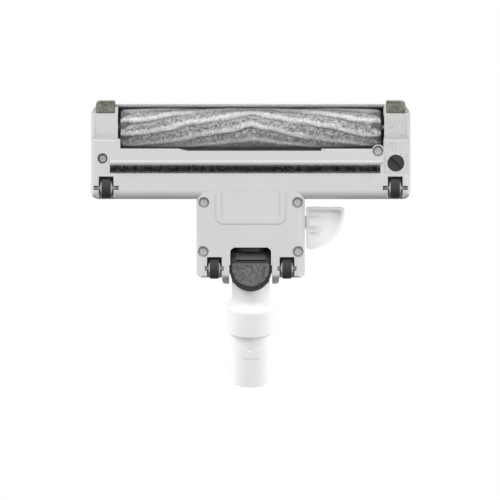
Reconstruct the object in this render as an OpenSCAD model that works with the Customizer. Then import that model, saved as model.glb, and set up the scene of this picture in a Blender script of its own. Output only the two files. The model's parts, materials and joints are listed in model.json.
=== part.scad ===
// Powered floor head of a vacuum cleaner: a wide head with a driven pile roller,
// a rear body with a foot pedal, and a tilting neck that ends in a turning wand spigot.
// Frame: +Z up, floor at z = 0, front of the head towards -Y, wand towards +Y.
// The origin is under the middle of the whole object.

/* [Overall] */
// Half of the whole depth, felt corner pads to the end of the spigot
half_depth = 126.3; // [125:0.1:132]
// Rest angle of the neck above the floor
neck_angle = 19; // [17:1:21]
// Wall thickness of the shells
wall = 2.4; // [2:0.1:2.6]
// Height of the sole above the floor
sole_z = 3; // [2.6:0.1:3.2]
// Height of the seam between lower and upper shells
seam_z = 22; // [21.5:0.1:22.5]

/* [Head] */
// Width of the head
head_w = 280; // [278:1:286]
// Distance of the front lip from the origin
head_front = 123.4; // [122.5:0.1:123.5]
// Distance of the rear edge from the origin
head_rear = 40.2; // [39:0.1:41]
// Height of the top of the head
head_top = 46; // [45:0.5:52]

/* [Roller] */
// Distance of the roller axis from the origin
roller_y = 102.9; // [102.6:0.1:103.1]
// Height of the roller axis
roller_z = 18.3; // [18.1:0.1:18.6]
// Outer radius of the pile
pile_r = 17.8; // [16.5:0.1:17.9]
// Radius of the roller core
core_r = 10.5; // [8:0.5:12]
// Radius of the large belt pulley on the roller
roller_pulley_r = 10; // [9:0.5:10]

/* [Motor] */
// Distance of the motor axis from the origin
motor_y = 62; // [61:0.5:63]
// Height of the motor axis
motor_z = 29; // [28.5:0.5:29.5]
// Radius of the motor can
motor_r = 13; // [11:0.5:13]
// Radius of the small belt pulley on the motor
motor_pulley_r = 5; // [4.5:0.5:5]

/* [Wheels] */
// Radius of every wheel, which is also its axle height
wheel_r = 9; // [8.5:0.1:9.2]
// Width of every tyre
wheel_w = 8.2; // [7.6:0.1:8.4]
// Radius of the steel axle pins
axle_r = 1.7; // [1.5:0.1:1.75]

/* [Rear body] */
// Width of the rear body
body_w = 95; // [94:1:97]
// Distance of its rear edge behind the origin
body_rear = 28.9; // [28:0.1:30]
// Height of the top of the rear body
body_top_z = 42; // [41:0.5:44]
// Distance of the tilt axis behind the origin
tilt_y = 22; // [21.9:0.1:22.2]
// Height of the tilt axis
tilt_z = 24; // [23.8:0.1:24.5]

/* [Neck] */
// Radius of the round knuckle
knuckle_r = 19; // [18.5:0.1:19]
// Outer radius of the narrow root of the neck
root_r = 16.5; // [16:0.1:17]
// Outer radius of the collar
collar_r = 21; // [20.8:0.1:22]
// Outer radius of the wand spigot
spigot_r = 17.4; // [17:0.1:17.5]
// Radius of the air passage through neck and spigot
air_r = 14.6; // [13:0.1:14.8]

/* [Hidden] */
$fn = 48;

// Colours of the materials
housing_grey = [0.82, 0.82, 0.83];
soft_white = [0.93, 0.93, 0.93];
cap_grey = [0.84, 0.84, 0.83];
felt_olive = [0.48, 0.48, 0.42];
felt_grey = [0.43, 0.43, 0.43];
dark_plastic = [0.16, 0.16, 0.17];
pile_grey = [0.68, 0.68, 0.68];
steel = [0.72, 0.73, 0.72];
tyre_grey = [0.26, 0.26, 0.27];
pedal_clear = [0.90, 0.91, 0.91];
board_green = [0.12, 0.35, 0.2];
brass = [0.8, 0.65, 0.3];

// Head
front_y = -head_front;
rear_y = -head_rear;
half_w = head_w / 2;
floor_z = sole_z + wall;
bumper_in_y = front_y + 1.7;
cap_x = 117;
cap_y = -62.8;
window_x = 116.4;
window_front_y = -121.3;
window_rear_y = -84.1;
window_mid_y = -82.2;
chamber_rear_y = -82.2;
partition = 2;
felt_x0 = 119;
felt_x1 = 135.4;
felt_back_y = -115.2;
felt_top_z = 21.5;
groove_y0 = -97.6;
groove_y1 = -90.7;
groove_depth = 1.7;
slot_x0 = -123.3;
slot_x1 = 113.6;
slot_y0 = -70;
slot_y1 = -62.7;
screw_left = [-129.8, -75.5];
screw_right = [111.6, -82];
recess_r = 4.8;
recess_top = 9;
deep_recess_top = 15;
screw_head_r = 2.9;
screw_r = 1.5;
lock_pos = [127.1, -71.4];
lock_r = 7.1;
channel_x = 22;
channel_z0 = 10;
channel_z1 = 39;

// Roller and drive
belt_x0 = -124;
belt_x1 = -119.5;
belt_t = 1.2;
belt_gap = 0.08;
run_gap = 0.05;
shaft_r = 2.5;
pile_half = 114;
core_half = 115.4;
motor_x0 = -105;
motor_x1 = -52;
motor_shaft_r = 1.6;

// Wheels
wheel_fx = 126.6;
wheel_fy = -49.7;
wheel_rx = 31.8;
wheel_ry = 20.9;
notch_half = 6.5;
notch_z = wheel_r + 10.5;
notch_front_gap = 10;
pin_half = 10.9;
rear_pin_half = 8.2;
hub_r = 6.2;

// Rear body
notch_x = 18.8;
notch_y = 2.5;
body_half = body_w / 2;
body_front_y = -46.6;
body_screw_pos = [[41, -36.9], [41.5, 6.2]];
duct_r = 15.6;
bush_r = 6.5;
pin_r = 4;
bush_x1 = 24.4;

// Pedal
pedal_x = 48.9;
pedal_arc = [50.2, -28.3];
pedal_arc_r = 32.4;
pedal_front_y = -33.3;
pedal_rim = 2.6;
pedal_z0 = 20;
pedal_z1 = 27.5;
pivot = [43, 25];
arm_y0 = -25.3;
arm_y1 = -11.9;
spring_y = -13.6;

// Neck, with distances measured from the tilt axis along the pipe
flare_s0 = 24.3;
flare_s1 = 35.4;
seat_s = 36.5;
collar_s = 57.3;
seat_r = 19.2;
bearing_r = spigot_r - 0.2;
sleeve_s = 68;
spigot_s = (half_depth - tilt_y - spigot_r * sin(neck_angle)) / cos(neck_angle);
knuckle_half = 18.1;
round_y = 23;
drum_edge = 3.4;
duct_end_y = 6.2;
foot_z = 6.5;

// ---- Helpers ----

module box(x0, x1, y0, y1, z0, z1)
    translate([x0, y0, z0]) cube([x1 - x0, y1 - y0, z1 - z0]);

module along_x(x0, x1) translate([x0, 0, 0]) rotate([90, 0, 90]) linear_extrude(x1 - x0) children();
module along_y(y0, y1) translate([0, y1, 0]) rotate([90, 0, 0]) linear_extrude(y1 - y0) children();
module along_z(z0, z1) translate([0, 0, z0]) linear_extrude(z1 - z0) children();

module rod_x(x0, x1, y, z, r) translate([x0, y, z]) rotate([0, 90, 0]) cylinder(r = r, h = x1 - x0);
module rod_y(y0, y1, x, z, r) translate([x, y1, z]) rotate([90, 0, 0]) cylinder(r = r, h = y1 - y0);
module rod_z(p, z0, z1, r) translate([p[0], p[1], z0]) cylinder(r = r, h = z1 - z0);

// What has to be removed from a square corner at the origin to round it
module corner(x, y, flip_x, flip_y, r)
    if (r > 0) translate([x, y]) mirror([flip_x, 0]) mirror([0, flip_y]) difference() {
        translate([-1, -1]) square(r + 1);
        translate([r, r]) circle(r);
    }

// A rectangle with its own radius at each corner, lower left first, anticlockwise
module rect4(x0, x1, y0, y1, r)
    difference() {
        translate([x0, y0]) square([x1 - x0, y1 - y0]);
        corner(x0, y0, 0, 0, r[0]);
        corner(x1, y0, 1, 0, r[1]);
        corner(x1, y1, 1, 1, r[2]);
        corner(x0, y1, 0, 1, r[3]);
    }

module below(z) intersection() { children(); box(-200, 200, -200, 200, -10, z); }
module above(z) intersection() { children(); box(-200, 200, -200, 200, z, 90); }
module both_sides() { children(); mirror([1, 0, 0]) children(); }
module both_sides_y(y) { children(); translate([0, 2 * y, 0]) mirror([0, 1, 0]) children(); }

// A disc on the X axis with its own edge radius at each end
module round_rod_x(x0, x1, y, z, r, edge0, edge1)
    translate([x0, y, z]) rotate([0, 90, 0]) rotate_extrude() rect4(0, r, 0, x1 - x0, [0, edge0, edge1, 0]);

// The frame of the neck: +Z runs along the pipe from the tilt axis, +Y faces the floor
module on_neck() translate([0, tilt_y, tilt_z]) rotate([neck_angle - 90, 0, 0]) children();

// ---- Forms shared by several pieces ----

// Outer form of the head, drawn in by a wall thickness where in > 0
module head_form(in = 0)
    intersection() {
        along_z(0, 60) rect4(-half_w + in, half_w - in, front_y + in, rear_y - in,
            [9, 9, 6, 6] - [1, 1, 1, 1] * in);
        along_x(-150, 150) rect4(front_y + in, rear_y - in, sole_z + in, head_top - in,
            [3, 7.6, 12, 18] - [1, 1, 1, 1] * in);
        along_y(-130, -30) rect4(-half_w + in, half_w - in, sole_z + in, head_top - in,
            [5, 5, 12, 12] - [1, 1, 1, 1] * in);
    }

// Outer form of the rear body
module body_form(in = 0)
    intersection() {
        along_z(0, 60) rect4(-body_half + in, body_half - in, -60, body_rear - in, [0, 0, 5, 5]);
        along_y(-60, 40) rect4(-body_half + in, body_half - in, sole_z + in, body_top_z - in, [8, 8, 12, 12]);
        along_x(-60, 60) rect4(-60, body_rear - in, sole_z + in, body_top_z - in, [0, 3, 12, 0]);
    }

// Outline of the gap in the sole that the roller works through
module window_outline()
    polygon([[-window_x, window_front_y], [window_x, window_front_y], [window_x, window_rear_y],
        [66, window_rear_y], [61.6, window_mid_y], [-55.7, window_mid_y], [-63.6, window_rear_y],
        [-window_x + 2.2, window_rear_y], [-window_x + 2.2, -93.3], [-window_x, -93.3]]);

// A wheel notch with its axle slot, open to the floor and to the rear
module wheel_space(x, y, rear_limit, slot_half) {
    box(x - notch_half, x + notch_half, y - notch_front_gap, rear_limit, -1, notch_z);
    box(x - slot_half - 0.1, x + slot_half + 0.1, y - axle_r, y + axle_r, -1, wheel_r);
    rod_x(x - slot_half - 0.1, x + slot_half + 0.1, y, wheel_r, axle_r);
}

// Shallow groove across one end of the sole, deepest at its rear edge
module end_groove(x0, x1)
    along_x(x0, x1) polygon([[groove_y0, -1], [groove_y1, -1], [groove_y1, sole_z],
        [groove_y1 - 1.2, sole_z + groove_depth], [groove_y0, sole_z]]);

module corner_felt_form()
    along_z(1.8, felt_top_z) rect4(felt_x0, felt_x1, -half_depth, felt_back_y, [1, 3.6, 0, 0]);

// A screw standing on its point, head towards the floor
module screw(p, top, seat = recess_top)
    difference() {
        union() {
            rod_z(p, seat - 2, seat, screw_head_r);
            rod_z(p, seat - 0.1, top, screw_r);
        }
        translate([p[0], p[1], seat - 2]) for (turn = [0, 90])
            rotate([0, 0, turn]) cube([3.4, 0.8, 2.4], center = true);
    }

// ---- Head shells ----

module bottom_housing()
    color(housing_grey) difference() {
        union() {
            difference() {
                below(seam_z) head_form();
                above(floor_z) head_form(wall);
            }
            box(-window_x - partition, -window_x, bumper_in_y, chamber_rear_y + partition, floor_z - 1, seam_z);
            box(-window_x - 1, cap_x, chamber_rear_y, chamber_rear_y + partition, floor_z - 1, seam_z);
            box(cap_x - 2, half_w - 2.6, cap_y + 0.1, cap_y + 1.7, floor_z - 1, seam_z);
            box(cap_x - 1.8, cap_x - 0.2, chamber_rear_y, cap_y + 1.7, floor_z - 1, seam_z);
            // Blocks around the wheel notches and the bristle strip
            both_sides()
                box(wheel_fx - 8, wheel_fx + 8, wheel_fy - 11.6, rear_y - 1.5, floor_z - 1, notch_z + 1.5);
            box(slot_x0 - 1.6, slot_x1 + 1.6, slot_y0 - 1.6, slot_y1 + 1.6, floor_z - 1, 9.6);
            // Lip in front of the bristle strip
            rod_x(slot_x0, slot_x1 + 2, slot_y0 - 2, sole_z + 1.1, 2);
            // Backing of the felt corner pad
            box(-half_w + 2.6, -window_x - 1, felt_back_y - 4, felt_back_y + 2, floor_z - 1, seam_z);
            // Screw cups and columns
            rod_z(screw_left, floor_z - 1, seam_z, 5.2);
            rod_z(screw_right, sole_z, recess_top + 1, 5.6);
            rod_z(screw_right, recess_top, seam_z, 2.6);
            // Sunken ledge behind the right part of the roller gap
            box(62, 110, window_rear_y, chamber_rear_y + 0.5, floor_z - 1, 11);
            // Posts under the circuit board
            for (x = [51, 103], y = [-74, -50]) rod_z([x, y], floor_z - 1, 12, 2.2);
            // Seat of the roller bearing
            box(-133, -127, -roller_y - 8.5, -roller_y + 8.5, floor_z - 1, roller_z);
            rod_x(-133, -127, -roller_y, roller_z, 8.5);
        }
        along_z(-1, floor_z + 0.05) difference() {
            window_outline();
            translate([screw_right[0], screw_right[1]]) circle(5.6);
        }
        box(64, 107.6, window_rear_y - 0.1, window_mid_y, -1, sole_z + 3.4);
        both_sides() rod_z([104, -56.6], -1, sole_z + 0.3, 2.1);
        rod_x(-window_x, cap_x, -roller_y, roller_z, pile_r + 0.6);
        rod_x(-window_x - 3, -window_x + 1, -roller_y, roller_z, shaft_r + 1.5);
        // Front is closed by the bumper, the right front corner by the end cap
        box(-felt_x0 + 0.2, cap_x + 1, front_y - 1, front_y + wall + 0.1, 0, seam_z + 1);
        box(cap_x, half_w + 1, front_y - 1, cap_y + 0.1, 0, seam_z + 1);
        mirror([1, 0, 0]) box(felt_x0 - 0.2, half_w + 1, -half_depth - 1, felt_back_y, 0, felt_top_z + 0.1);
        end_groove(-half_w - 1, -window_x);
        both_sides() wheel_space(wheel_fx, wheel_fy, rear_y + 1, pin_half);
        box(slot_x0, slot_x1, slot_y0, slot_y1, 0, 8);
        rod_z(screw_left, 0, deep_recess_top, recess_r - 0.3);
        rod_z(screw_left, deep_recess_top - 1, seam_z + 1, screw_r);
        rod_z(screw_right, 0, recess_top, recess_r);
        rod_z(screw_right, recess_top - 1, seam_z + 1, screw_r);
        rod_x(-133.1, -126.9, -roller_y, roller_z, 6);
        belt_body(belt_x0 - 0.9, belt_x1 + 0.9, belt_gap + belt_t + 0.6);
        box(-channel_x, channel_x, chamber_rear_y - 1, rear_y + 1, channel_z0, seam_z + 1);
    }

module top_cover()
    color(housing_grey) difference() {
        union() {
            difference() {
                above(seam_z) head_form();
                head_form(wall);
            }
            intersection() {
                head_form(1);
                union() {
                    box(-window_x - partition, -window_x, front_y, chamber_rear_y + partition, seam_z, 50);
                    box(-window_x - 1, half_w, chamber_rear_y, chamber_rear_y + partition, seam_z, 50);
                    box(cap_x + 0.1, cap_x + 1.9, front_y, chamber_rear_y + 1, seam_z, 50);
                    for (p = [screw_left, screw_right]) rod_z(p, seam_z, 50, 3.6);
                }
            }
        }
        rod_x(-window_x, cap_x, -roller_y, roller_z, pile_r + 0.6);
        for (p = [screw_left, screw_right]) rod_z(p, seam_z - 1, 36, screw_r);
        box(-channel_x, channel_x, chamber_rear_y - 1, rear_y + 1, seam_z - 1, channel_z1);
    }

module end_cap()
    color(cap_grey) difference() {
        union() {
            difference() {
                below(seam_z) intersection() {
                    head_form();
                    box(cap_x + 0.1, half_w + 1, front_y - 1, cap_y, 0, 50);
                }
                above(floor_z) intersection() {
                    head_form(wall);
                    box(cap_x + 2.1, half_w + 1, front_y - 1, cap_y - wall, 0, 50);
                }
            }
            box(felt_x0 - 1.5, half_w - 2.6, felt_back_y - 4, felt_back_y + 2, floor_z - 1, seam_z);
            rod_z(lock_pos, floor_z - 1, 12, lock_r + 1.1);
            box(cap_x + 2, 127, -roller_y - 8.5, -roller_y + 8.5, floor_z - 1, roller_z);
            rod_x(cap_x + 2, 127, -roller_y, roller_z, 8.5);
        }
        rod_x(cap_x - 1, cap_x + 5, -roller_y, roller_z, shaft_r + 1);
        rod_x(cap_x + 4, 127.1, -roller_y, roller_z, 6);
        box(felt_x0 - 0.2, half_w + 1, -half_depth - 1, felt_back_y, 0, felt_top_z + 0.1);
        end_groove(cap_x - 1, half_w + 1);
        rod_z(lock_pos, 0, 10, lock_r + 0.3);
        rod_z(lock_pos, 9, 13, 3 + run_gap);
    }

module front_bumper()
    color(soft_white) along_x(-felt_x0 + 0.4, cap_x)
        rect4(front_y, bumper_in_y, sole_z + 0.2, seam_z, [0.8, 0.4, 0, 0]);

module corner_felt_left() color(felt_olive) mirror([1, 0, 0]) corner_felt_form();
module corner_felt_right() color(felt_olive) corner_felt_form();

module bristle_rail() color(dark_plastic) box(slot_x0, slot_x1, slot_y0, slot_y1, 5.6, 8);
module bristle_strip() color(dark_plastic)
    box(slot_x0 + 0.6, slot_x1 - 0.6, slot_y0 + 0.8, slot_y1 - 0.8, 1.2, 5.6);

module coin_lock()
    color(dark_plastic) difference() {
        union() {
            rod_z(lock_pos, sole_z + 0.6, 9.7, lock_r);
            rod_z(lock_pos, 9.6, 13.4, 3);
            translate([lock_pos[0], lock_pos[1], 13.3]) rotate([0, 0, 45])
                translate([-2.5, -2.5, 0]) cube([7.7, 5, 2]);
        }
        translate([lock_pos[0], lock_pos[1], sole_z + 0.6]) rotate([0, 0, 45])
            cube([2 * lock_r - 2, 1.8, 4], center = true);
    }

module head_screws() color(steel) {
    screw(screw_left, 34, deep_recess_top);
    screw(screw_right, 34);
}

// ---- Inside the head ----

module suction_channel()
    color(dark_plastic) difference() {
        box(-channel_x, channel_x, chamber_rear_y, rear_y, channel_z0, channel_z1);
        box(-channel_x + 1.6, channel_x - 1.6, chamber_rear_y - 1, rear_y - 1.8,
            channel_z0 + 1.6, channel_z1 - 1.6);
        rod_y(rear_y - 3, rear_y + 1, 0, tilt_z, duct_r - 1.5);
    }

module motor_can()
    color(steel) difference() {
        rod_x(motor_x0, motor_x1, -motor_y, motor_z, motor_r);
        rod_x(motor_x0 + 1.5, motor_x1 + 1, -motor_y, motor_z, motor_r - 1.2);
        rod_x(motor_x0 - 1, motor_x0 + 3, -motor_y, motor_z, motor_shaft_r + 0.1);
    }

module motor_end_bell()
    color(dark_plastic) difference() {
        union() {
            rod_x(motor_x1, motor_x1 + 6, -motor_y, motor_z, motor_r - 0.5);
            rod_x(motor_x1 + 5, motor_x1 + 9, -motor_y, motor_z, 5);
        }
        rod_x(motor_x1 - 1, motor_x1 + 7, -motor_y, motor_z, motor_shaft_r + 0.1);
        both_sides_y(-motor_y)
            box(motor_x1 + 3, motor_x1 + 7, -motor_y + 6, -motor_y + 9, motor_z - 3, motor_z + 3);
    }

module motor_cradle()
    color(dark_plastic) difference() {
        for (x = [motor_x0 + 6, motor_x1 - 11])
            box(x, x + 5, -motor_y - 10, -motor_y + 10, 9.6, motor_z - 4);
        rod_x(motor_x0, motor_x1, -motor_y, motor_z, motor_r);
    }

module armature()
    color(steel) {
        rod_x(belt_x0 - 0.5, motor_x1 + 6.5, -motor_y, motor_z, motor_shaft_r);
        difference() {
            rod_x(motor_x0 + 6, motor_x1 - 8, -motor_y, motor_z, motor_r - 2.2);
            for (turn = [0:36:324])
                translate([0, -motor_y, motor_z]) rotate([turn, 0, 0])
                    box(motor_x0 + 5, motor_x1 - 7, -0.8, 0.8, 6.5, motor_r);
        }
    }

// A flanged belt pulley on the X axis, with its shaft bore
module pulley(y, z, r, bore)
    difference() {
        union() {
            rod_x(belt_x0 - 0.4, belt_x1 + 0.4, y, z, r);
            rod_x(belt_x0 - 0.7, belt_x0 - 0.2, y, z, r + 1.2);
            rod_x(belt_x1 + 0.2, belt_x1 + 0.7, y, z, r + 1.2);
        }
        rod_x(belt_x0 - 1, belt_x1 + 1, y, z, bore);
    }

module motor_pulley() color(steel) pulley(-motor_y, motor_z, motor_pulley_r, motor_shaft_r);
module brush_pulley() color(dark_plastic) pulley(-roller_y, roller_z, roller_pulley_r, shaft_r);

// Filled outline of the belt around both pulleys, at a distance grow from their faces
module belt_body(x0, x1, grow)
    along_x(x0, x1) hull() {
        translate([-roller_y, roller_z]) circle(roller_pulley_r + grow);
        translate([-motor_y, motor_z]) circle(motor_pulley_r + grow);
    }

module drive_belt()
    color(dark_plastic) difference() {
        belt_body(belt_x0, belt_x1, belt_gap + belt_t);
        belt_body(belt_x0 - 1, belt_x1 + 1, belt_gap);
    }

module circuit_board()
    union() {
        color(board_green) box(48, 106, -77, -47, 12, 13.6);
        color(dark_plastic) {
            rod_z([58, -68], 13.5, 26, 5);
            rod_z([72, -68], 13.5, 22, 4);
            box(82, 98, -74, -58, 13.5, 20);
            for (x = [54:9:90]) box(x, x + 5, -54, -50, 13.5, 15.5);
        }
    }

// ---- Roller ----

module brush_core()
    color(dark_plastic) difference() {
        rod_x(-core_half, core_half, -roller_y, roller_z, core_r);
        rod_x(-core_half - 1, core_half + 1, -roller_y, roller_z, shaft_r);
    }

module brush_shaft() color(steel) rod_x(-132.5, 125.5, -roller_y, roller_z, shaft_r);

module brush_pile()
    color(pile_grey) difference() {
        rod_x(-pile_half, pile_half, -roller_y, roller_z, pile_r);
        rod_x(-pile_half - 1, pile_half + 1, -roller_y, roller_z, core_r);
    }

module bearing(x0, x1)
    difference() {
        rod_x(x0, x1, -roller_y, roller_z, 6);
        rod_x(x0 - 1, x1 + 1, -roller_y, roller_z, shaft_r + run_gap);
    }

module brush_bearing_left() color(brass) bearing(-132.8, -127.2);
module brush_bearing_right() color(brass) bearing(cap_x + 4, 126.8);

// ---- Wheels ----

module tyre(x, y)
    color(tyre_grey) translate([x - wheel_w / 2, y, wheel_r]) rotate([0, 90, 0]) rotate_extrude()
        rect4(hub_r, wheel_r, 0, wheel_w, [0, 1.4, 1.4, 0]);

module hub(x, y)
    color(housing_grey) translate([x, y, wheel_r]) rotate([0, 90, 0]) rotate_extrude() {
        bore = axle_r + run_gap;
        edge = wheel_w / 2;
        polygon([[bore, -edge - 1.6], [2.8, -edge - 1.6], [hub_r - 0.4, -edge - 0.6], [hub_r, -edge + 0.4],
            [hub_r, edge - 0.4], [hub_r - 0.4, edge + 0.6], [2.8, edge + 1.6], [bore, edge + 1.6]]);
    }

module front_tyre_left() tyre(-wheel_fx, wheel_fy);
module front_tyre_right() tyre(wheel_fx, wheel_fy);
module rear_tyre_left() tyre(-wheel_rx, wheel_ry);
module rear_tyre_right() tyre(wheel_rx, wheel_ry);
module front_hub_left() hub(-wheel_fx, wheel_fy);
module front_hub_right() hub(wheel_fx, wheel_fy);
module rear_hub_left() hub(-wheel_rx, wheel_ry);
module rear_hub_right() hub(wheel_rx, wheel_ry);

module front_axles() color(steel) both_sides()
    rod_x(wheel_fx - pin_half, wheel_fx + pin_half, wheel_fy, wheel_r, axle_r);
module rear_axles() color(steel) both_sides()
    rod_x(wheel_rx - rear_pin_half, wheel_rx + rear_pin_half, wheel_ry, wheel_r, axle_r);

// ---- Rear body ----

// Everything that the lower and upper rear shells leave free
module body_spaces() {
    along_z(-1, 60) rect4(-notch_x, notch_x, notch_y, 60, [4, 4, 0, 0]);
    both_sides() wheel_space(wheel_rx, wheel_ry, body_rear + 12, rear_pin_half);
    both_sides() rod_x(notch_x - 1, bush_x1, tilt_y, tilt_z, bush_r);
    for (p = body_screw_pos) both_sides() {
        rod_z(p, -1, recess_top, recess_r);
        rod_z(p, recess_top - 1, 34, screw_r);
    }
    // Pockets that run from the rear screws out to the sides
    both_sides() box(body_screw_pos[1][0], body_half + 1, body_screw_pos[1][1] - recess_r,
        body_screw_pos[1][1] + recess_r, -1, 5.4);
    rod_y(-60, notch_y + 1, 0, tilt_z, duct_r);
    // Slot in the side wall for the pedal arm
    box(body_half - 6, body_half + 2, arm_y0 - 0.6, arm_y1 + 0.6, 17.4, 32);
    rod_y(-29.5, -7.5, pivot[0], pivot[1], screw_r);
}

module body_cavity()
    difference() {
        intersection() {
            body_form(wall);
            box(-60, 60, -60, notch_y - wall, floor_z, 60);
        }
        for (p = body_screw_pos) both_sides() rod_z(p, 0, 50, recess_r + 1);
        // Ears that carry the pedal pin
        for (y = [-29, -10.8]) box(pivot[0] - 3.4, 60, y, y + 2.6, 0, pivot[1] + 3.4);
    }

module body_base()
    color(housing_grey) difference() {
        union() {
            difference() {
                below(seam_z) intersection() {
                    body_form();
                    box(-60, 60, body_front_y, 60, 0, 60);
                }
                body_cavity();
            }
            // Raised loop around the plate
            along_z(sole_z - 0.7, sole_z + 0.5) difference() {
                rect4(-30.2, 30.2, body_front_y, -18.3, [0, 0, 6, 6]);
                rect4(-25.9, 25.9, body_front_y - 1, -22.7, [0, 0, 3, 3]);
            }
        }
        head_form();
        body_spaces();
    }

module body_top()
    color(housing_grey) difference() {
        above(seam_z) union() {
            intersection() {
                body_form();
                box(-60, 60, body_front_y, 60, 0, 60);
            }
            both_sides() round_rod_x(notch_x + 0.2, 25, tilt_y, tilt_z, 12.4, 0.6, 2.8);
        }
        body_cavity();
        head_form();
        body_spaces();
    }

module body_screws() color(steel) for (p = body_screw_pos) both_sides() screw(p, 33);

module air_duct()
    color(dark_plastic) difference() {
        rod_y(rear_y, duct_end_y, 0, tilt_z, duct_r);
        rod_y(rear_y - 1, duct_end_y + 1, 0, tilt_z, duct_r - 1.5);
        // The mouth follows the drum of the knuckle
        rod_x(-20, 20, tilt_y, tilt_z, knuckle_r + 0.4);
    }

// ---- Pedal ----

module pedal_outline(in)
    intersection() {
        translate(pedal_arc) circle(pedal_arc_r - in, $fn = 96);
        rect4(pedal_x + in, pedal_arc[0] + pedal_arc_r - in, pedal_front_y + in, 4.1 - in, [0, 3.5, 0, 3]);
    }

module pedal()
    color(pedal_clear) difference() {
        union() {
            difference() {
                along_z(pedal_z0, pedal_z1) pedal_outline(0);
                along_z(pedal_z0 - 1, pedal_z1 - 2) pedal_outline(pedal_rim);
            }
            // Ribs under the plate
            box(pedal_x + 1, 60, -27, -25.6, pedal_z0 + 2, pedal_z1 - 1);
            box(pedal_x + 1, 59, -17.3, -15.9, pedal_z0 + 2, pedal_z1 - 1);
            box(pedal_x + 1, 59, -12.6, -11.2, pedal_z0 + 2, pedal_z1 - 1);
            for (x = [56, 59]) rod_z([x, pedal_front_y - 0.2], pedal_z0 + 2, pedal_z1 - 2, 0.6);
            // Arm, pivot barrel and inner toe
            box(pivot[0], pedal_x + 1, arm_y0, -14.2, 20.6, pedal_z1);
            rod_y(arm_y0, -14.2, pivot[0], pivot[1], 3.1);
            box(30, pivot[0], -21, -16, 24, 27);
        }
        rod_y(arm_y0 - 1, -13, pivot[0], pivot[1], screw_r + run_gap);
    }

module pedal_pin() color(steel) rod_y(-29, -8.2, pivot[0], pivot[1], screw_r);

module pedal_spring()
    color(steel) {
        for (turn = [0:3]) translate([pivot[0], spring_y + turn * 0.6, pivot[1]]) rotate([90, 0, 0])
            rotate_extrude() translate([2.1, 0]) circle(0.31);
        rod_z([pivot[0] - 2.1, spring_y], 18, pivot[1], 0.3);
        rod_z([pivot[0] + 2.1, spring_y + 1.8], 18, pivot[1], 0.3);
    }

module release_catch()
    color(dark_plastic) difference() {
        union() {
            box(28, 34, -21.5, -15.5, 27.6, 33.5);
            box(28, 31, -16, -1.5, 29.5, 33.5);
        }
        rod_y(-22, -15, 31, 31, 1.4);
    }

// ---- Neck ----

module knuckle_plan() {
    rect4(-knuckle_half, knuckle_half, tilt_y - knuckle_r - 1, round_y, [0, 0, 0, 0]);
    translate([0, round_y]) circle(knuckle_half);
}

module knuckle_form()
    intersection() {
        along_z(0, 60) knuckle_plan();
        union() {
            round_rod_x(-knuckle_half, knuckle_half, tilt_y, tilt_z, knuckle_r, drum_edge, drum_edge);
            box(-20, 20, 14.4, 60, foot_z, 20);
        }
        box(-30, 30, -30, 60, foot_z, 60);
    }

module knuckle()
    color(dark_plastic) difference() {
        knuckle_form();
        difference() {
            rod_x(-14.4, 14.4, tilt_y, tilt_z, 15.6);
            box(-20, 20, 14.2, 60, 0, foot_z + 2.5);
        }
        on_neck() cylinder(r = air_r - 0.6, h = 60);
        box(-13, 13, 0, tilt_y, 16, 31);
        box(-13.2, 13.2, 0, 14.2, 0, 20);
        both_sides() rod_x(14, 19, tilt_y, tilt_z, pin_r);
    }

module slot_bar()
    color(tyre_grey) difference() {
        intersection() {
            rod_x(-13.2, 13.2, tilt_y, tilt_z, knuckle_r - 0.4);
            box(-14, 14, 6.4, 13.4, 0, 16);
        }
        rod_x(-14, 14, tilt_y, tilt_z, 15.8);
    }

module knuckle_felt()
    color(felt_grey) along_z(foot_z - 1.5, foot_z) intersection() {
        translate([0, 20.2]) circle(16.6);
        rect4(-16.6, 16.6, 16.1, 37, [3, 3, 0, 0]);
    }

module tilt_pins() color(steel) both_sides() rod_x(14.4, bush_x1 - 0.4, tilt_y, tilt_z, pin_r);

module tilt_bushes()
    color(brass) both_sides() difference() {
        rod_x(notch_x, bush_x1, tilt_y, tilt_z, bush_r);
        rod_x(notch_x - 1, bush_x1 + 1, tilt_y, tilt_z, pin_r + run_gap);
    }

// Radius of the flare at a share t of its length
function flare(t) = root_r + (collar_r - root_r) * (1 - cos(180 * t)) / 2;

module neck_collar()
    color(soft_white) difference() {
        on_neck() rotate_extrude($fn = 96) difference() {
            union() {
                polygon(concat([[air_r - 0.6, 10], [root_r, 10]],
                    [for (i = [0:8]) [flare(i / 8), flare_s0 + (flare_s1 - flare_s0) * i / 8]],
                    [[collar_r, 45], [air_r - 0.6, 45]]));
                rect4(air_r - 0.6, collar_r, 40, collar_s, [0, 0, 1.6, 0]);
            }
            translate([0, seat_s]) square([seat_r, 40]);
        }
        knuckle_form();
    }

module ring_on_neck(r0, r1, s0, s1)
    on_neck() rotate_extrude($fn = 96) translate([r0, s0]) square([r1 - r0, s1 - s0]);

module swivel_ring() color(soft_white) ring_on_neck(bearing_r + run_gap, seat_r, 51, collar_s - 0.6);
module swivel_seal() color(dark_plastic) ring_on_neck(bearing_r + run_gap, seat_r, 41, 44);

module wand_spigot()
    color(soft_white) on_neck() difference() {
        union() {
            translate([0, 0, seat_s + 0.5]) cylinder(r = bearing_r, h = sleeve_s - seat_s);
            translate([0, 0, sleeve_s]) cylinder(r = spigot_r, h = spigot_s - sleeve_s);
            translate([0, 0, seat_s + 0.5]) cylinder(r = seat_r - 0.3, h = 3);
        }
        translate([0, 0, seat_s - 1]) cylinder(r = air_r, h = 100);
        // Shallow round mark and line on the underside
        translate([0, spigot_r - 0.5, 69]) rotate([-90, 0, 0]) cylinder(r = 2.2, h = 3);
        box(-8, 8, spigot_r - 2.3, spigot_r + 1, 77.4, 77.8);
    }

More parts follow.
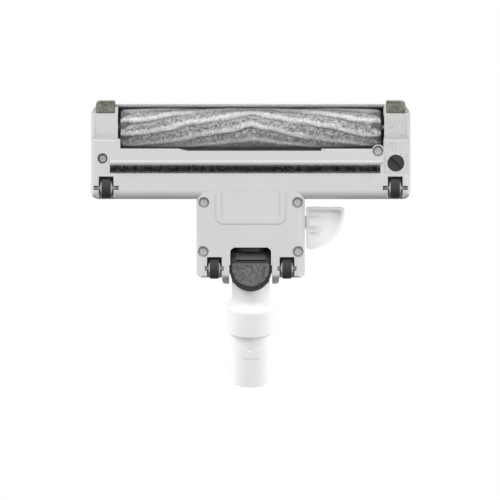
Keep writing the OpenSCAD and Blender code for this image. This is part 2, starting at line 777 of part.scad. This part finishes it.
module contact_block()
    color(soft_white) on_neck() difference() {
        box(-8, 8, -24.5, -12, 58.5, 67.5);
        translate([0, 0, 50]) cylinder(r = bearing_r, h = 30);
        box(-6.4, 6.4, -23, -18.6, 60.5, 70);
    }

module contact_pins() color(brass) on_neck() for (x = [-3.4, 3.4])
    translate([x, -20.8, 60.5]) cylinder(r = 0.9, h = 6);

bottom_housing();
top_cover();
end_cap();
front_bumper();
corner_felt_left();
corner_felt_right();
bristle_rail();
bristle_strip();
coin_lock();
head_screws();
suction_channel();
motor_can();
motor_end_bell();
motor_cradle();
armature();
motor_pulley();
drive_belt();
brush_core();
brush_shaft();
brush_pile();
brush_pulley();
brush_bearing_left();
brush_bearing_right();
circuit_board();
front_axles();
rear_axles();
front_tyre_left();
front_tyre_right();
rear_tyre_left();
rear_tyre_right();
front_hub_left();
front_hub_right();
rear_hub_left();
rear_hub_right();
body_base();
body_top();
body_screws();
air_duct();
pedal();
pedal_pin();
pedal_spring();
release_catch();
knuckle();
knuckle_felt();
slot_bar();
tilt_pins();
tilt_bushes();
neck_collar();
swivel_ring();
swivel_seal();
wand_spigot();
contact_block();
contact_pins();
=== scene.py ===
"""Looks of a powered vacuum floor head: rounded moulded shells, tufted roller, felt, bristle,
rubber and steel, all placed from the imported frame."""
import json
import math

import bmesh
import bpy
import numpy as np
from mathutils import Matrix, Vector


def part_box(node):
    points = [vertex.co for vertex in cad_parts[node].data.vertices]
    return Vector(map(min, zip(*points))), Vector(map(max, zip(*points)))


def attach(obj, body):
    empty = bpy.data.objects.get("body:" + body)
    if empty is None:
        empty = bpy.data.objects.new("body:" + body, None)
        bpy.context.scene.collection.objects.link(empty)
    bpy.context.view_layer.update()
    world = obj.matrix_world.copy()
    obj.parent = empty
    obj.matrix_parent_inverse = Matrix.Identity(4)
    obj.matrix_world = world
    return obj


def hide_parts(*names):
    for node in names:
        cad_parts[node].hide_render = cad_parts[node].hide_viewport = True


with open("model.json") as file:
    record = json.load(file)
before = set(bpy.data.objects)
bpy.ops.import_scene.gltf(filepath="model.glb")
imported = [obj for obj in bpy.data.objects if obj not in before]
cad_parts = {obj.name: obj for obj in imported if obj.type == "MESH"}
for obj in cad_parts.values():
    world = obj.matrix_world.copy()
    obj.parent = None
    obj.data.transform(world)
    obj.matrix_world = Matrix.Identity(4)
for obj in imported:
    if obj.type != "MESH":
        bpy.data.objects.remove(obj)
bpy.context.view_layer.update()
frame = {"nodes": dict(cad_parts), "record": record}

MM = 0.001
NODES = frame["nodes"]
BODY_OF = {n: body for body, members in frame["record"]["behaviour"]["bodies"].items() for n in members}
SLOT_OF = {s["node"]: s["material_slot"] for s in frame["record"]["subparts"]}
rng = np.random.default_rng(7)


# ---- Camera, floor and lights ----

VIEW_WIDTH = 0.4375
VIEW_MIDDLE = (-0.0006, 0.0047)
CAMERA_BELOW = 4.0
SENSOR = 36.0
TENT_BASE = 0.55
TENT_SIDES = 0.78
TENT_FRONT = 0.56
TENT_ABOVE = 0.12
FLOOR_REACH = 6.0
FLOOR_DROP = 0.0002
# Lamp: place, size of the square, power
LAMPS = {
    "key_below": ((-0.9, -1.2, -1.1), 0.7, 11), "fill_below": ((1.3, -0.4, -1.0), 0.9, 6),
    "key_above": ((-0.9, -1.0, 1.5), 1.0, 3.5), "fill_above": ((1.1, 0.9, 1.3), 1.2, 1),
}


def make_camera():
    """Looks straight up at the underside, with the front of the head at the top of the picture."""
    data = bpy.data.cameras.new("camera")
    data.sensor_width = SENSOR
    data.lens = SENSOR * CAMERA_BELOW / VIEW_WIDTH
    data.clip_end = 50
    camera = bpy.data.objects.new("camera", data)
    camera.location = (*VIEW_MIDDLE, -CAMERA_BELOW)
    camera.rotation_euler = (math.pi, 0, 0)
    bpy.context.scene.collection.objects.link(camera)
    bpy.context.scene.camera = camera


def make_floor():
    """A pale floor that is seen only from above, so that the view from below stays clear."""
    mat = bpy.data.materials.new("floor_paint")
    mat.use_nodes = True
    tree = mat.node_tree
    paint = tree.nodes["Principled BSDF"]
    paint.inputs["Base Color"].default_value = (0.86, 0.86, 0.86, 1)
    paint.inputs["Roughness"].default_value = 0.7
    clear = tree.nodes.new("ShaderNodeBsdfTransparent")
    side = tree.nodes.new("ShaderNodeNewGeometry")
    choose = tree.nodes.new("ShaderNodeMixShader")
    tree.links.new(side.outputs["Backfacing"], choose.inputs["Fac"])
    tree.links.new(paint.outputs[0], choose.inputs[1])
    tree.links.new(clear.outputs[0], choose.inputs[2])
    tree.links.new(choose.outputs[0], tree.nodes["Material Output"].inputs["Surface"])
    mesh = bpy.data.meshes.new("floor")
    corners = [(x * FLOOR_REACH, y * FLOOR_REACH, 0) for x, y in ((-1, -1), (1, -1), (1, 1), (-1, 1))]
    mesh.from_pydata(corners, [], [(0, 1, 2, 3)])
    mesh.materials.append(mat)
    floor = bpy.data.objects.new("floor", mesh)
    floor.location.z = -FLOOR_DROP
    floor.visible_shadow = False
    floor.visible_diffuse = False
    floor.visible_glossy = False
    floor.visible_transmission = False
    bpy.context.scene.collection.objects.link(floor)


def area_light(name, place, size, power):
    """A soft square lamp that faces the object."""
    data = bpy.data.lights.new(name, "AREA")
    data.size = size
    data.energy = power
    lamp = bpy.data.objects.new(name, data)
    lamp.location = place
    lamp.rotation_euler = (-Vector(place)).to_track_quat("-Z", "Y").to_euler()
    bpy.context.scene.collection.objects.link(lamp)


def formula(tree, operation, first, second):
    """A math node fed by numbers or by other nodes."""
    node = tree.nodes.new("ShaderNodeMath")
    node.operation = operation
    for socket, value in zip(node.inputs, (first, second)):
        if isinstance(value, (int, float)):
            socket.default_value = value
        else:
            tree.links.new(value, socket)
    return node.outputs[0]


def make_world():
    """A light tent: brightest from the sides and the front, dim from behind, plain white to the camera."""
    world = bpy.data.worlds.new("studio")
    bpy.context.scene.world = world
    world.use_nodes = True
    tree = world.node_tree
    tree.nodes.clear()
    direction = tree.nodes.new("ShaderNodeTexCoord").outputs["Generated"]
    split = tree.nodes.new("ShaderNodeSeparateXYZ")
    tree.links.new(direction, split.inputs[0])
    x, y, z = split.outputs
    sides = formula(tree, "MULTIPLY", formula(tree, "MULTIPLY", x, x), TENT_SIDES)
    front = formula(tree, "MULTIPLY", y, -TENT_FRONT)
    above = formula(tree, "MULTIPLY", formula(tree, "MAXIMUM", z, 0.0), TENT_ABOVE)
    total = formula(tree, "ADD", formula(tree, "ADD", sides, front), formula(tree, "ADD", above, TENT_BASE))
    glow = tree.nodes.new("ShaderNodeBackground")
    glow.inputs["Color"].default_value = (1, 1, 1, 1)
    tree.links.new(total, glow.inputs["Strength"])
    seen = tree.nodes.new("ShaderNodeBackground")
    seen.inputs["Color"].default_value = (1, 1, 1, 1)
    seen.inputs["Strength"].default_value = 1.0
    rays = tree.nodes.new("ShaderNodeLightPath")
    mix = tree.nodes.new("ShaderNodeMixShader")
    out = tree.nodes.new("ShaderNodeOutputWorld")
    tree.links.new(rays.outputs["Is Camera Ray"], mix.inputs["Fac"])
    tree.links.new(glow.outputs[0], mix.inputs[1])
    tree.links.new(seen.outputs[0], mix.inputs[2])
    tree.links.new(mix.outputs[0], out.inputs["Surface"])


def make_lights():
    bpy.context.scene.view_settings.view_transform = "Standard"
    for name, (place, size, power) in LAMPS.items():
        area_light(name, place, size, power)


# ---- Materials ----

class Shader:
    """A Principled material with a few procedural building blocks."""

    def __init__(self, name, color, roughness, metallic=0.0):
        self.mat = bpy.data.materials.new(name)
        self.mat.use_nodes = True
        self.tree = self.mat.node_tree
        self.bsdf = self.tree.nodes["Principled BSDF"]
        self.color = color
        self.bsdf.inputs["Base Color"].default_value = (*color, 1)
        self.bsdf.inputs["Roughness"].default_value = roughness
        self.bsdf.inputs["Metallic"].default_value = metallic
        self.place = self.tree.nodes.new("ShaderNodeTexCoord").outputs["Object"]

    def link(self, a, b):
        self.tree.links.new(a, b)

    def stretch(self, scale):
        """The object's coordinates, multiplied axis by axis."""
        node = self.tree.nodes.new("ShaderNodeMapping")
        node.inputs["Scale"].default_value = scale
        self.link(self.place, node.inputs["Vector"])
        return node.outputs["Vector"]

    def noise(self, scale, detail=3.0, rough=0.5, vector=None):
        node = self.tree.nodes.new("ShaderNodeTexNoise")
        node.inputs["Scale"].default_value = scale
        node.inputs["Detail"].default_value = detail
        node.inputs["Roughness"].default_value = rough
        self.link(vector or self.place, node.inputs["Vector"])
        return node.outputs["Fac"]

    def attribute(self, name):
        node = self.tree.nodes.new("ShaderNodeAttribute")
        node.attribute_name = name
        return node.outputs["Fac"]

    def spread(self, value, low, high, from_low=0.3, from_high=0.7):
        """value remapped to the range low to high."""
        node = self.tree.nodes.new("ShaderNodeMapRange")
        ends = {"From Min": from_low, "From Max": from_high, "To Min": low, "To Max": high}
        for name, number in ends.items():
            node.inputs[name].default_value = number
        self.link(value, node.inputs["Value"])
        return node.outputs["Result"]

    def blend(self, factor, first, second):
        """A colour between two, each a colour or another node's output."""
        node = self.tree.nodes.new("ShaderNodeMix")
        node.data_type = "RGBA"
        self.link(factor, node.inputs["Factor"])
        for socket, value in ((node.inputs[6], first), (node.inputs[7], second)):
            if isinstance(value, tuple):
                socket.default_value = (*value, 1)
            else:
                self.link(value, socket)
        return node.outputs[2]

    def scaled(self, color, factor):
        """A colour multiplied by a value."""
        node = self.tree.nodes.new("ShaderNodeVectorMath")
        node.operation = "SCALE"
        self.link(color, node.inputs[0])
        self.link(factor, node.inputs["Scale"])
        return node.outputs["Vector"]

    def shade(self, amount):
        """The base colour made darker or lighter by a factor."""
        return tuple(min(1.0, c * amount) for c in self.color)

    def mottle(self, scale, amount):
        """Slight uneven tone, as in any moulding."""
        patches = self.spread(self.noise(scale), 0, 1)
        color = self.blend(patches, self.shade(1 - amount), self.shade(1 + amount))
        self.link(color, self.bsdf.inputs["Base Color"])
        return color

    def polish(self, scale, low, high):
        """Uneven roughness."""
        self.link(self.spread(self.noise(scale, 4.0), low, high), self.bsdf.inputs["Roughness"])

    def grain(self, height, strength, distance):
        """Surface relief from a height."""
        node = self.tree.nodes.new("ShaderNodeBump")
        node.inputs["Strength"].default_value = strength
        node.inputs["Distance"].default_value = distance
        self.link(height, node.inputs["Height"])
        self.link(node.outputs["Normal"], self.bsdf.inputs["Normal"])

    def set(self, **sockets):
        for name, value in sockets.items():
            self.bsdf.inputs[name.replace("_", " ")].default_value = value


def moulded(name, color, roughness, grain_scale=2200, grain=0.12, mottling=0.012):
    """Injection-moulded plastic with a fine spark texture."""
    s = Shader(name, color, roughness)
    s.mottle(18, mottling)
    s.polish(60, roughness - 0.05, roughness + 0.06)
    s.grain(s.noise(grain_scale, 2.0), grain, 0.0002)
    return s


def make_materials():
    mats = {}
    s = moulded("housing_grey", (0.625, 0.625, 0.63), 0.42)
    mats["housing"] = s.mat

    s = moulded("cap_texture", (0.64, 0.64, 0.63), 0.6, 1500, 0.5, 0.015)
    specks = s.spread(s.noise(1100, 2.0, 0.7), 0, 1, 0.36, 0.62)
    s.link(s.blend(specks, s.shade(0.72), s.shade(1.08)), s.bsdf.inputs["Base Color"])
    mats["cap_plastic"] = s.mat

    s = moulded("lip_milky", (0.92, 0.92, 0.92), 0.4)
    s.set(Transmission_Weight=0.6)
    mats["lip_plastic"] = s.mat
    s = moulded("hub_plastic", (0.6, 0.6, 0.605), 0.4, 1500, 0.08)
    mats["hub_plastic"] = s.mat

    s = moulded("neck_white", (0.97, 0.97, 0.965), 0.3, 1500, 0.04, 0.005)
    s.set(Coat_Weight=0.15, Coat_Roughness=0.2)
    mats["white_plastic"] = s.mat

    s = moulded("pedal_milky", (0.98, 0.985, 0.985), 0.3, 900, 0.05, 0.01)
    s.set(Transmission_Weight=0.05, Subsurface_Weight=0.1, Subsurface_Radius=(1, 1, 1),
          Subsurface_Scale=0.0006)
    mats["pedal_plastic"] = s.mat

    for name, slot, color in (("felt_olive", "olive_felt", (0.27, 0.27, 0.22)),
                              ("felt_grey", "grey_felt", (0.19, 0.19, 0.187))):
        s = Shader(name, color, 0.95)
        cloud = s.spread(s.noise(330, 4.0, 0.7), 0.4, 1.55, 0.3, 0.7)
        tone = s.blend(s.attribute("tone"), s.shade(0.35), s.shade(1.7))
        s.link(s.scaled(tone, cloud), s.bsdf.inputs["Base Color"])
        s.set(Sheen_Weight=0.2, Sheen_Roughness=0.6)
        mats[slot] = s.mat

    s = moulded("dark_satin", (0.028, 0.028, 0.03), 0.45, 1800, 0.1, 0.06)
    mats["dark_plastic"] = s.mat
    s = moulded("bar_satin", (0.085, 0.085, 0.088), 0.5, 1800, 0.15, 0.05)
    mats["bar_plastic"] = s.mat

    s = Shader("tyre_elastomer", (0.03, 0.03, 0.032), 0.75)
    s.mottle(300, 0.2)
    s.polish(500, 0.65, 0.85)
    s.grain(s.noise(1500, 3.0), 0.3, 0.0002)
    mats["tyre"] = s.mat
    s = Shader("black_rubber", (0.03, 0.03, 0.03), 0.8)
    s.mottle(200, 0.15)
    s.grain(s.noise(1200, 3.0), 0.25, 0.0002)
    mats["black_rubber"] = s.mat

    s = Shader("zinc_steel", (0.78, 0.8, 0.78), 0.3, 1.0)
    s.mottle(250, 0.08)
    s.polish(700, 0.24, 0.42)
    s.grain(s.noise(900, 3.0, 0.6, s.stretch((1, 8, 8))), 0.08, 0.0001)
    mats["steel"] = s.mat
    s = Shader("sintered_brass", (0.6, 0.44, 0.2), 0.4, 1.0)
    s.mottle(400, 0.12)
    s.polish(600, 0.35, 0.5)
    mats["brass"] = s.mat
    s = moulded("solder_mask", (0.02, 0.12, 0.05), 0.35, 500, 0.1, 0.1)
    mats["board"] = s.mat

    s = Shader("nylon_bristle", (0.03, 0.03, 0.032), 0.55)
    tone = s.blend(s.attribute("tone"), (0.022, 0.022, 0.023), (0.8, 0.8, 0.81))
    s.link(tone, s.bsdf.inputs["Base Color"])
    mats["bristle"] = s.mat

    s = Shader("tufted_pile", (0.42, 0.42, 0.42), 0.9)
    tone = s.blend(s.attribute("tone"), (0.11, 0.11, 0.11), (0.93, 0.93, 0.925))
    s.link(tone, s.bsdf.inputs["Base Color"])
    s.set(Sheen_Weight=0.8, Sheen_Roughness=0.4, Subsurface_Weight=0.6, Subsurface_Radius=(1, 1, 1),
          Subsurface_Scale=0.004)
    mats["pile"] = s.mat
    return mats


# ---- Pieces ----

WELD = 2e-6
FLAT_ANGLE = 0.6
EDGE_ANGLE = 32
EDGE_STEPS = 3

def add_piece(name, mesh, body, material, replaced=()):
    piece = bpy.data.objects.new(name, mesh)
    bpy.context.scene.collection.objects.link(piece)
    if material:
        mesh.materials.clear()
        mesh.materials.append(material)
    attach(piece, body)
    if replaced:
        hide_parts(*replaced)
    return piece


def rounded(node, width):
    """A copy of a CAD node in its place, with edges sharper than EDGE_ANGLE broken to a small radius."""
    mesh = NODES[node].data.copy()
    work = bmesh.new()
    work.from_mesh(mesh)
    bmesh.ops.remove_doubles(work, verts=work.verts, dist=WELD)
    bmesh.ops.dissolve_limit(work, angle_limit=math.radians(FLAT_ANGLE), verts=work.verts, edges=work.edges)
    for face in work.faces:
        face.smooth = True
    work.to_mesh(mesh)
    work.free()
    slot = SLOT_OF[node]
    piece = add_piece(node + "_skin", mesh, BODY_OF[node], MATERIALS[slot], [node])
    bevel = piece.modifiers.new("soft_edges", "BEVEL")
    bevel.width = width * MM
    bevel.segments = EDGE_STEPS
    bevel.limit_method = "ANGLE"
    bevel.angle_limit = math.radians(EDGE_ANGLE)
    bevel.use_clamp_overlap = True
    flat = piece.modifiers.new("flat_faces", "WEIGHTED_NORMAL")
    flat.weight = 100
    flat.keep_sharp = True
    return piece


def mesh_from(name, points, faces, tones=None):
    """A smooth mesh from arrays, with an optional tone from 0, dark, to 1, light, at each point."""
    mesh = bpy.data.meshes.new(name)
    mesh.from_pydata(points.tolist(), [], faces)
    mesh.shade_smooth()
    if tones is not None:
        layer = mesh.attributes.new("tone", "FLOAT", "POINT")
        layer.data.foreach_set("value", np.clip(tones, 0, 1).astype(np.float32))
    return mesh


def fibre_mesh(name, roots, tips, width, shaded_root_tone, lit_tip_tone):
    """Fine three-sided fibres, each from a root to a pointed tip; the callers give darker roots and lighter
    tips, painted shade deep among the fibres and painted light at the tips.
    """
    count = len(roots)
    along = tips - roots
    along /= np.linalg.norm(along, axis=1, keepdims=True)
    side = np.cross(along, rng.normal(size=(count, 3)))
    side /= np.linalg.norm(side, axis=1, keepdims=True)
    other = np.cross(along, side)
    corners = [roots + width * (side * math.cos(a) + other * math.sin(a)) for a in (0, 2.094, 4.189)]
    points = np.stack(corners + [tips], axis=1).reshape(-1, 3)
    first = 4 * np.arange(count)[:, None]
    faces = np.concatenate([first + np.array(f) for f in ((0, 1, 3), (1, 2, 3), (2, 0, 3))]).tolist()
    tones = np.stack([shaded_root_tone] * 3 + [lit_tip_tone], axis=1).reshape(-1)
    return mesh_from(name, points, faces, tones)


# ---- Roller pile ----

STRIPS = 8
STRIP_TWIST = math.radians(0.74) / MM
STRIP_PHASE = math.radians(48)
LOBE_DEPTH = 0.17
PILE_FIBRES = 64000
CLUMPS = 40009
CLUMP = 1.4 * MM


def roller_axis():
    low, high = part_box("brush_shaft")
    return (low.y + high.y) / 2, (low.z + high.z) / 2


def strip_share(x, angle):
    """Where a place on the roller lies across its strip: 0 at the front edge, 1 at the rear edge.
    angle is measured from straight down towards the front; strips run back from the middle."""
    wave = 0.05 * np.sin(x / (9.3 * MM) + 1.9 * np.sin(angle + 0.4))
    wave += 0.03 * np.sin(x / (4.1 * MM) + 2.6 * np.cos(angle * 2))
    turn = angle - (STRIP_PHASE - STRIP_TWIST * np.abs(x))
    return (0.86 + wave - turn * STRIPS / (2 * math.pi)) % 1.0


def smooth(value, low, high):
    t = np.clip((value - low) / (high - low), 0, 1)
    return t * t * (3 - 2 * t)


def end_gap(x, x0, x1):
    """The strips draw in towards both ends of the roller, which opens gaps there; these gaps are darkened
    with painted shade.
    """
    return 0.26 * (1 - smooth(np.minimum(x - x0, x1 - x), 0, 13 * MM))


def parting(x, angle):
    """How far neighbouring strips stand apart, from 0 where their fibres mingle to 1 at an open gap; a
    wider gap also gets more painted shade.
    """
    drift = np.sin(x / (12.5 * MM) + 2.4 * np.sin(angle + 2))
    drift += 0.6 * np.sin(x / (5.2 * MM) + 3 * np.cos(angle))
    return smooth(drift, -0.5, 0.7)


def lobe(share, gap, parted):
    """Height of the pile across a strip, from 0 in the gap to 1 on the crown near its rear edge."""
    rise = np.sqrt(np.clip((share - gap) / 0.3, 0, 1))
    crown = 0.72 + 0.28 * smooth(share, 0.3, 0.75)
    fall = np.sqrt(np.clip((1 - gap - share) / 0.14, 0, 1))
    floor = 0.45 * (1 - parted) * (gap < 0.02)
    return np.maximum(rise * crown * fall, floor)


def lobe_painted_light_and_shade(share, gap, parted):
    """Painted light and shade across a strip: the crown gets a painted highlight, the front part of a strip
    stays grey, and an open gap gets painted shade.
    """
    crown = smooth(share, 0.46, 0.72) * (1 - 0.3 * smooth(share, 0.9, 1.0))
    edge = smooth(np.minimum(share - gap, 1 - gap - share), -0.01, 0.05)
    parted = np.maximum(parted, smooth(gap, 0.02, 0.12))
    return (0.36 + 0.5 * crown) * (1 - 0.85 * (0.15 + 0.85 * parted) * (1 - edge)), crown


def roller_point(x, angle, radius, axis):
    """The point at an angle from straight down, turned towards the front of the head."""
    return np.stack([x, axis[0] - radius * np.sin(angle), axis[1] - radius * np.cos(angle)], axis=-1)


def clump_at(x, angle, reach):
    """The clump a fibre belongs to: neighbours hold together and share a lean, a height and a tone."""
    column = np.floor((x + 1) / CLUMP).astype(int)
    row = np.floor((angle * reach + 0.5 * CLUMP * (column % 2)) / CLUMP).astype(int)
    return (column * 613 + row) % CLUMPS


def make_pile():
    clump_lean, clump_slide, clump_rise, clump_shade = rng.normal(size=(4, CLUMPS))
    axis = roller_axis()
    low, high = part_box("brush_pile")
    reach = (high.z - low.z) / 2
    full = reach - 0.2 * MM
    x0, x1 = low.x, high.x
    columns, turns = 400, 245
    x, angle = np.meshgrid(np.linspace(x0, x1, columns), np.linspace(0, 2 * math.pi, turns, endpoint=False),
                           indexing="ij")
    share, gap, parted = strip_share(x, angle), end_gap(x, x0, x1), parting(x, angle)
    bumps = rng.normal(size=x.shape)
    for _ in range(2):
        bumps = (bumps + np.roll(bumps, 1, 0) + np.roll(bumps, 1, 1) + np.roll(bumps, -1, 1)) / 4
    ends = np.clip(np.minimum(x - x0, x1 - x) / (3 * MM), 0, 1)
    radius = full * (1 - LOBE_DEPTH * (1 - lobe(share, gap, parted))) - 0.8 * MM + 0.3 * MM * bumps
    radius -= 2.5 * MM * (1 - np.sqrt(ends))
    points = roller_point(x, angle, radius, axis).reshape(-1, 3)
    grid = np.arange(columns * turns).reshape(columns, turns)
    after = np.roll(grid, -1, 1)
    faces = np.stack([grid[:-1], after[:-1], after[1:], grid[1:]], axis=-1).reshape(-1, 4).tolist()
    faces += [grid[0][::-1].tolist(), grid[-1].tolist()]
    # Painted highlight on each strip's crown and painted shade in the gaps between strips
    tones, crown = lobe_painted_light_and_shade(share, gap, parted)
    # The ground is painted lighter where its bumps stand higher and darker in its dips: painted light and
    # shade; the clump factor is a random tone
    tones *= (0.76 + 0.3 * bumps) * (1 + (0.45 - 0.4 * crown) * clump_shade[clump_at(x, angle, full)])
    add_piece("pile_ground", mesh_from("pile_ground", points, faces, tones.reshape(-1)), "roller",
              MATERIALS["pile"], ["brush_pile"])

    x = rng.uniform(x0 + 0.4 * MM, x1 - 0.4 * MM, PILE_FIBRES)
    angle = rng.uniform(0, 2 * math.pi, PILE_FIBRES)
    fray = rng.normal(0, 0.035, PILE_FIBRES)
    share, gap, parted = (strip_share(x, angle) + fray) % 1.0, end_gap(x, x0, x1), parting(x, angle)
    clump = clump_at(x, angle, full)
    height = full * (1 - LOBE_DEPTH * (1 - lobe(share, gap, parted)))
    height -= 2.2 * MM * (1 - np.sqrt(np.clip(np.minimum(x - x0, x1 - x) / (3 * MM), 0, 1)))
    # The fibres take the same painted highlight on the crowns and painted shade in the gaps
    tone, crown = lobe_painted_light_and_shade(share, gap, parted)
    roots = roller_point(x, angle, height - 2.8 * MM, axis)
    # The fibres lean towards the rear edge of their strip
    lean = -0.04 + (0.045 - 0.03 * crown) * clump_lean[clump] + rng.normal(0, 0.02, PILE_FIBRES)
    slide = np.clip(x + 0.6 * MM * clump_slide[clump] + rng.normal(0, 0.3 * MM, PILE_FIBRES), x0, x1)
    unlike = rng.normal(0, 0.15 * MM, PILE_FIBRES)
    tip_height = height + (0.34 - 0.24 * crown) * MM * clump_rise[clump] + unlike
    tips = roller_point(slide, angle + lean, np.minimum(tip_height, reach), axis)
    unevenness = 0.85 - 0.75 * crown
    tone = tone * (1 + unevenness * clump_shade[clump]) * rng.uniform(0.8, 1.2, PILE_FIBRES)
    # Roots painted darker and tips lighter: painted shade deep in the pile, painted light at the tips
    fibres = fibre_mesh("pile_fibres", roots, tips, 0.2 * MM, tone * 0.6, tone * 1.15)
    add_piece("pile_fibres", fibres, "roller", MATERIALS["pile"])


# ---- Bristle strip and felt pads ----

def make_bristles():
    """Rows of dense dark tufts in the rail, splayed a little at the tips."""
    low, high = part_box("bristle_strip")
    rail_low, rail_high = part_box("bristle_rail")
    pitch, rows, per_tuft = 2.1 * MM, 4, 62
    tufts = int((high.x - low.x) / pitch)
    index = np.repeat(np.arange(tufts * rows), per_tuft)
    count = len(index)
    row = index % rows
    x = low.x + (index // rows + 0.5 + 0.25 * (row % 2)) * pitch
    middle = (low.y + high.y) / 2
    y = middle + (row - (rows - 1) / 2) * (high.y - low.y) / rows
    spin, out = rng.uniform(0, 2 * math.pi, count), np.sqrt(rng.uniform(0, 1, count))
    x = x + 0.75 * MM * out * np.cos(spin)
    y = y + 0.6 * MM * out * np.sin(spin)
    roots = np.stack([x, y, np.full(count, rail_low.z + 1.2 * MM)], axis=1)
    splay = rng.normal(0, 0.55 * MM, (count, 2))
    tip_y = np.clip(y + (y - middle) * 0.4 + splay[:, 1], rail_low.y - 0.8 * MM, rail_high.y + 0.8 * MM)
    tip_x = np.clip(x + splay[:, 0], rail_low.x + 0.2 * MM, rail_high.x - 0.2 * MM)
    tips = np.stack([tip_x, tip_y, low.z + rng.uniform(0, 0.9 * MM, count)], axis=1)
    tuft_tone = rng.normal(0.3, 0.16, tufts * rows)[index]
    # Tufts towards both edges of the strip are painted much lighter: a painted highlight on the splayed
    # edge fibres
    edge = smooth(np.abs(tip_y - middle), 1.6 * MM, 3.4 * MM)
    tone = np.clip(tuft_tone - 0.08 + 0.75 * edge, 0, 1) * rng.uniform(0.5, 1.4, count)
    # Roots painted much darker than tips: painted shade deep in the rail, painted light at the tips
    mesh = fibre_mesh("bristle_tufts", roots, tips, 0.14 * MM, tone * 0.3, tone)
    add_piece("bristle_tufts", mesh, "head", MATERIALS["bristle"], ["bristle_strip"])


def surface_samples(mesh, count):
    """Random places on a mesh, spread evenly by area, with the normal at each."""
    mesh.calc_loop_triangles()
    corners = np.array([[mesh.vertices[v].co for v in tri.vertices] for tri in mesh.loop_triangles])
    normals = np.array([tri.normal for tri in mesh.loop_triangles])
    areas = np.array([tri.area for tri in mesh.loop_triangles])
    pick = rng.choice(len(areas), count, p=areas / areas.sum())
    a, b = np.sqrt(rng.uniform(0, 1, count)), rng.uniform(0, 1, count)
    weights = np.stack([1 - a, a * (1 - b), a * b], axis=1)
    return np.einsum("ij,ijk->ik", weights, corners[pick]), normals[pick]


def make_felt(node, count, edge, nap):
    """A felt pad: the solid with softened edges and an uneven face, under a short tangled nap."""
    mesh = NODES[node].data.copy()
    work = bmesh.new()
    work.from_mesh(mesh)
    bmesh.ops.remove_doubles(work, verts=work.verts, dist=WELD)
    bmesh.ops.dissolve_limit(work, angle_limit=math.radians(1), verts=work.verts, edges=work.edges)
    sharp = [e for e in work.edges if len(e.link_faces) == 2 and e.calc_face_angle() > 0.5]
    bmesh.ops.bevel(work, geom=sharp, offset=edge, segments=3, affect="EDGES", profile=0.5)
    bmesh.ops.triangulate(work, faces=work.faces)
    for _ in range(7):
        long_edges = [e for e in work.edges if e.calc_length() > 0.9 * MM]
        if not long_edges or len(work.faces) > 26000:
            break
        bmesh.ops.subdivide_edges(work, edges=long_edges, cuts=1)
        bmesh.ops.triangulate(work, faces=work.faces)
    work.normal_update()
    for vert in work.verts:
        vert.co -= vert.normal * (nap * 0.45 + abs(rng.normal(0, 0.05 * MM)))
        vert.select = False
    for face in work.faces:
        face.smooth = True
    work.to_mesh(mesh)
    work.free()
    slot, body = SLOT_OF[node], BODY_OF[node]
    layer = mesh.attributes.new("tone", "FLOAT", "POINT")
    layer.data.foreach_set("value", rng.uniform(0.15, 0.5, len(mesh.vertices)).astype(np.float32))
    add_piece(node + "_pad", mesh, body, MATERIALS[slot], [node])
    roots, normals = surface_samples(mesh, count)
    tips = roots + normals * rng.uniform(0.3 * nap, nap, (count, 1)) + rng.normal(0, 0.3 * MM, (count, 3))
    tone = rng.uniform(0.1, 0.85, count)
    # Roots painted darker than tips: painted shade under the nap, painted light at the tips
    mesh = fibre_mesh(node + "_nap", roots - normals * 0.05 * MM, tips, 0.07 * MM, tone * 0.6, tone)
    add_piece(node + "_nap", mesh, body, MATERIALS[slot])


MATERIALS = make_materials()
make_pile()
make_bristles()
make_felt("corner_felt_left", 9000, 1.2 * MM, 0.5 * MM)
make_felt("corner_felt_right", 9000, 1.2 * MM, 0.5 * MM)
make_felt("knuckle_felt", 7000, 0.4 * MM, 0.4 * MM)
make_camera()
make_floor()
make_world()
make_lights()

# Radius in mm at the edges of each rigid piece that is seen
ROUNDED = {
    "bottom_housing": 0.45, "top_cover": 0.6, "end_cap": 0.45, "front_bumper": 0.4, "body_base": 0.45,
    "body_top": 0.6, "head_screws": 0.7, "body_screws": 0.7, "knuckle": 0.35, "slot_bar": 0.3,
    "neck_collar": 0.35, "wand_spigot": 0.4, "coin_lock": 0.3, "contact_block": 0.4,
}
for node, width in ROUNDED.items():
    rounded(node, width)

for node, part in NODES.items():
    if part.hide_render:
        continue
    part.data.materials.clear()
    part.data.materials.append(MATERIALS[SLOT_OF[node]])
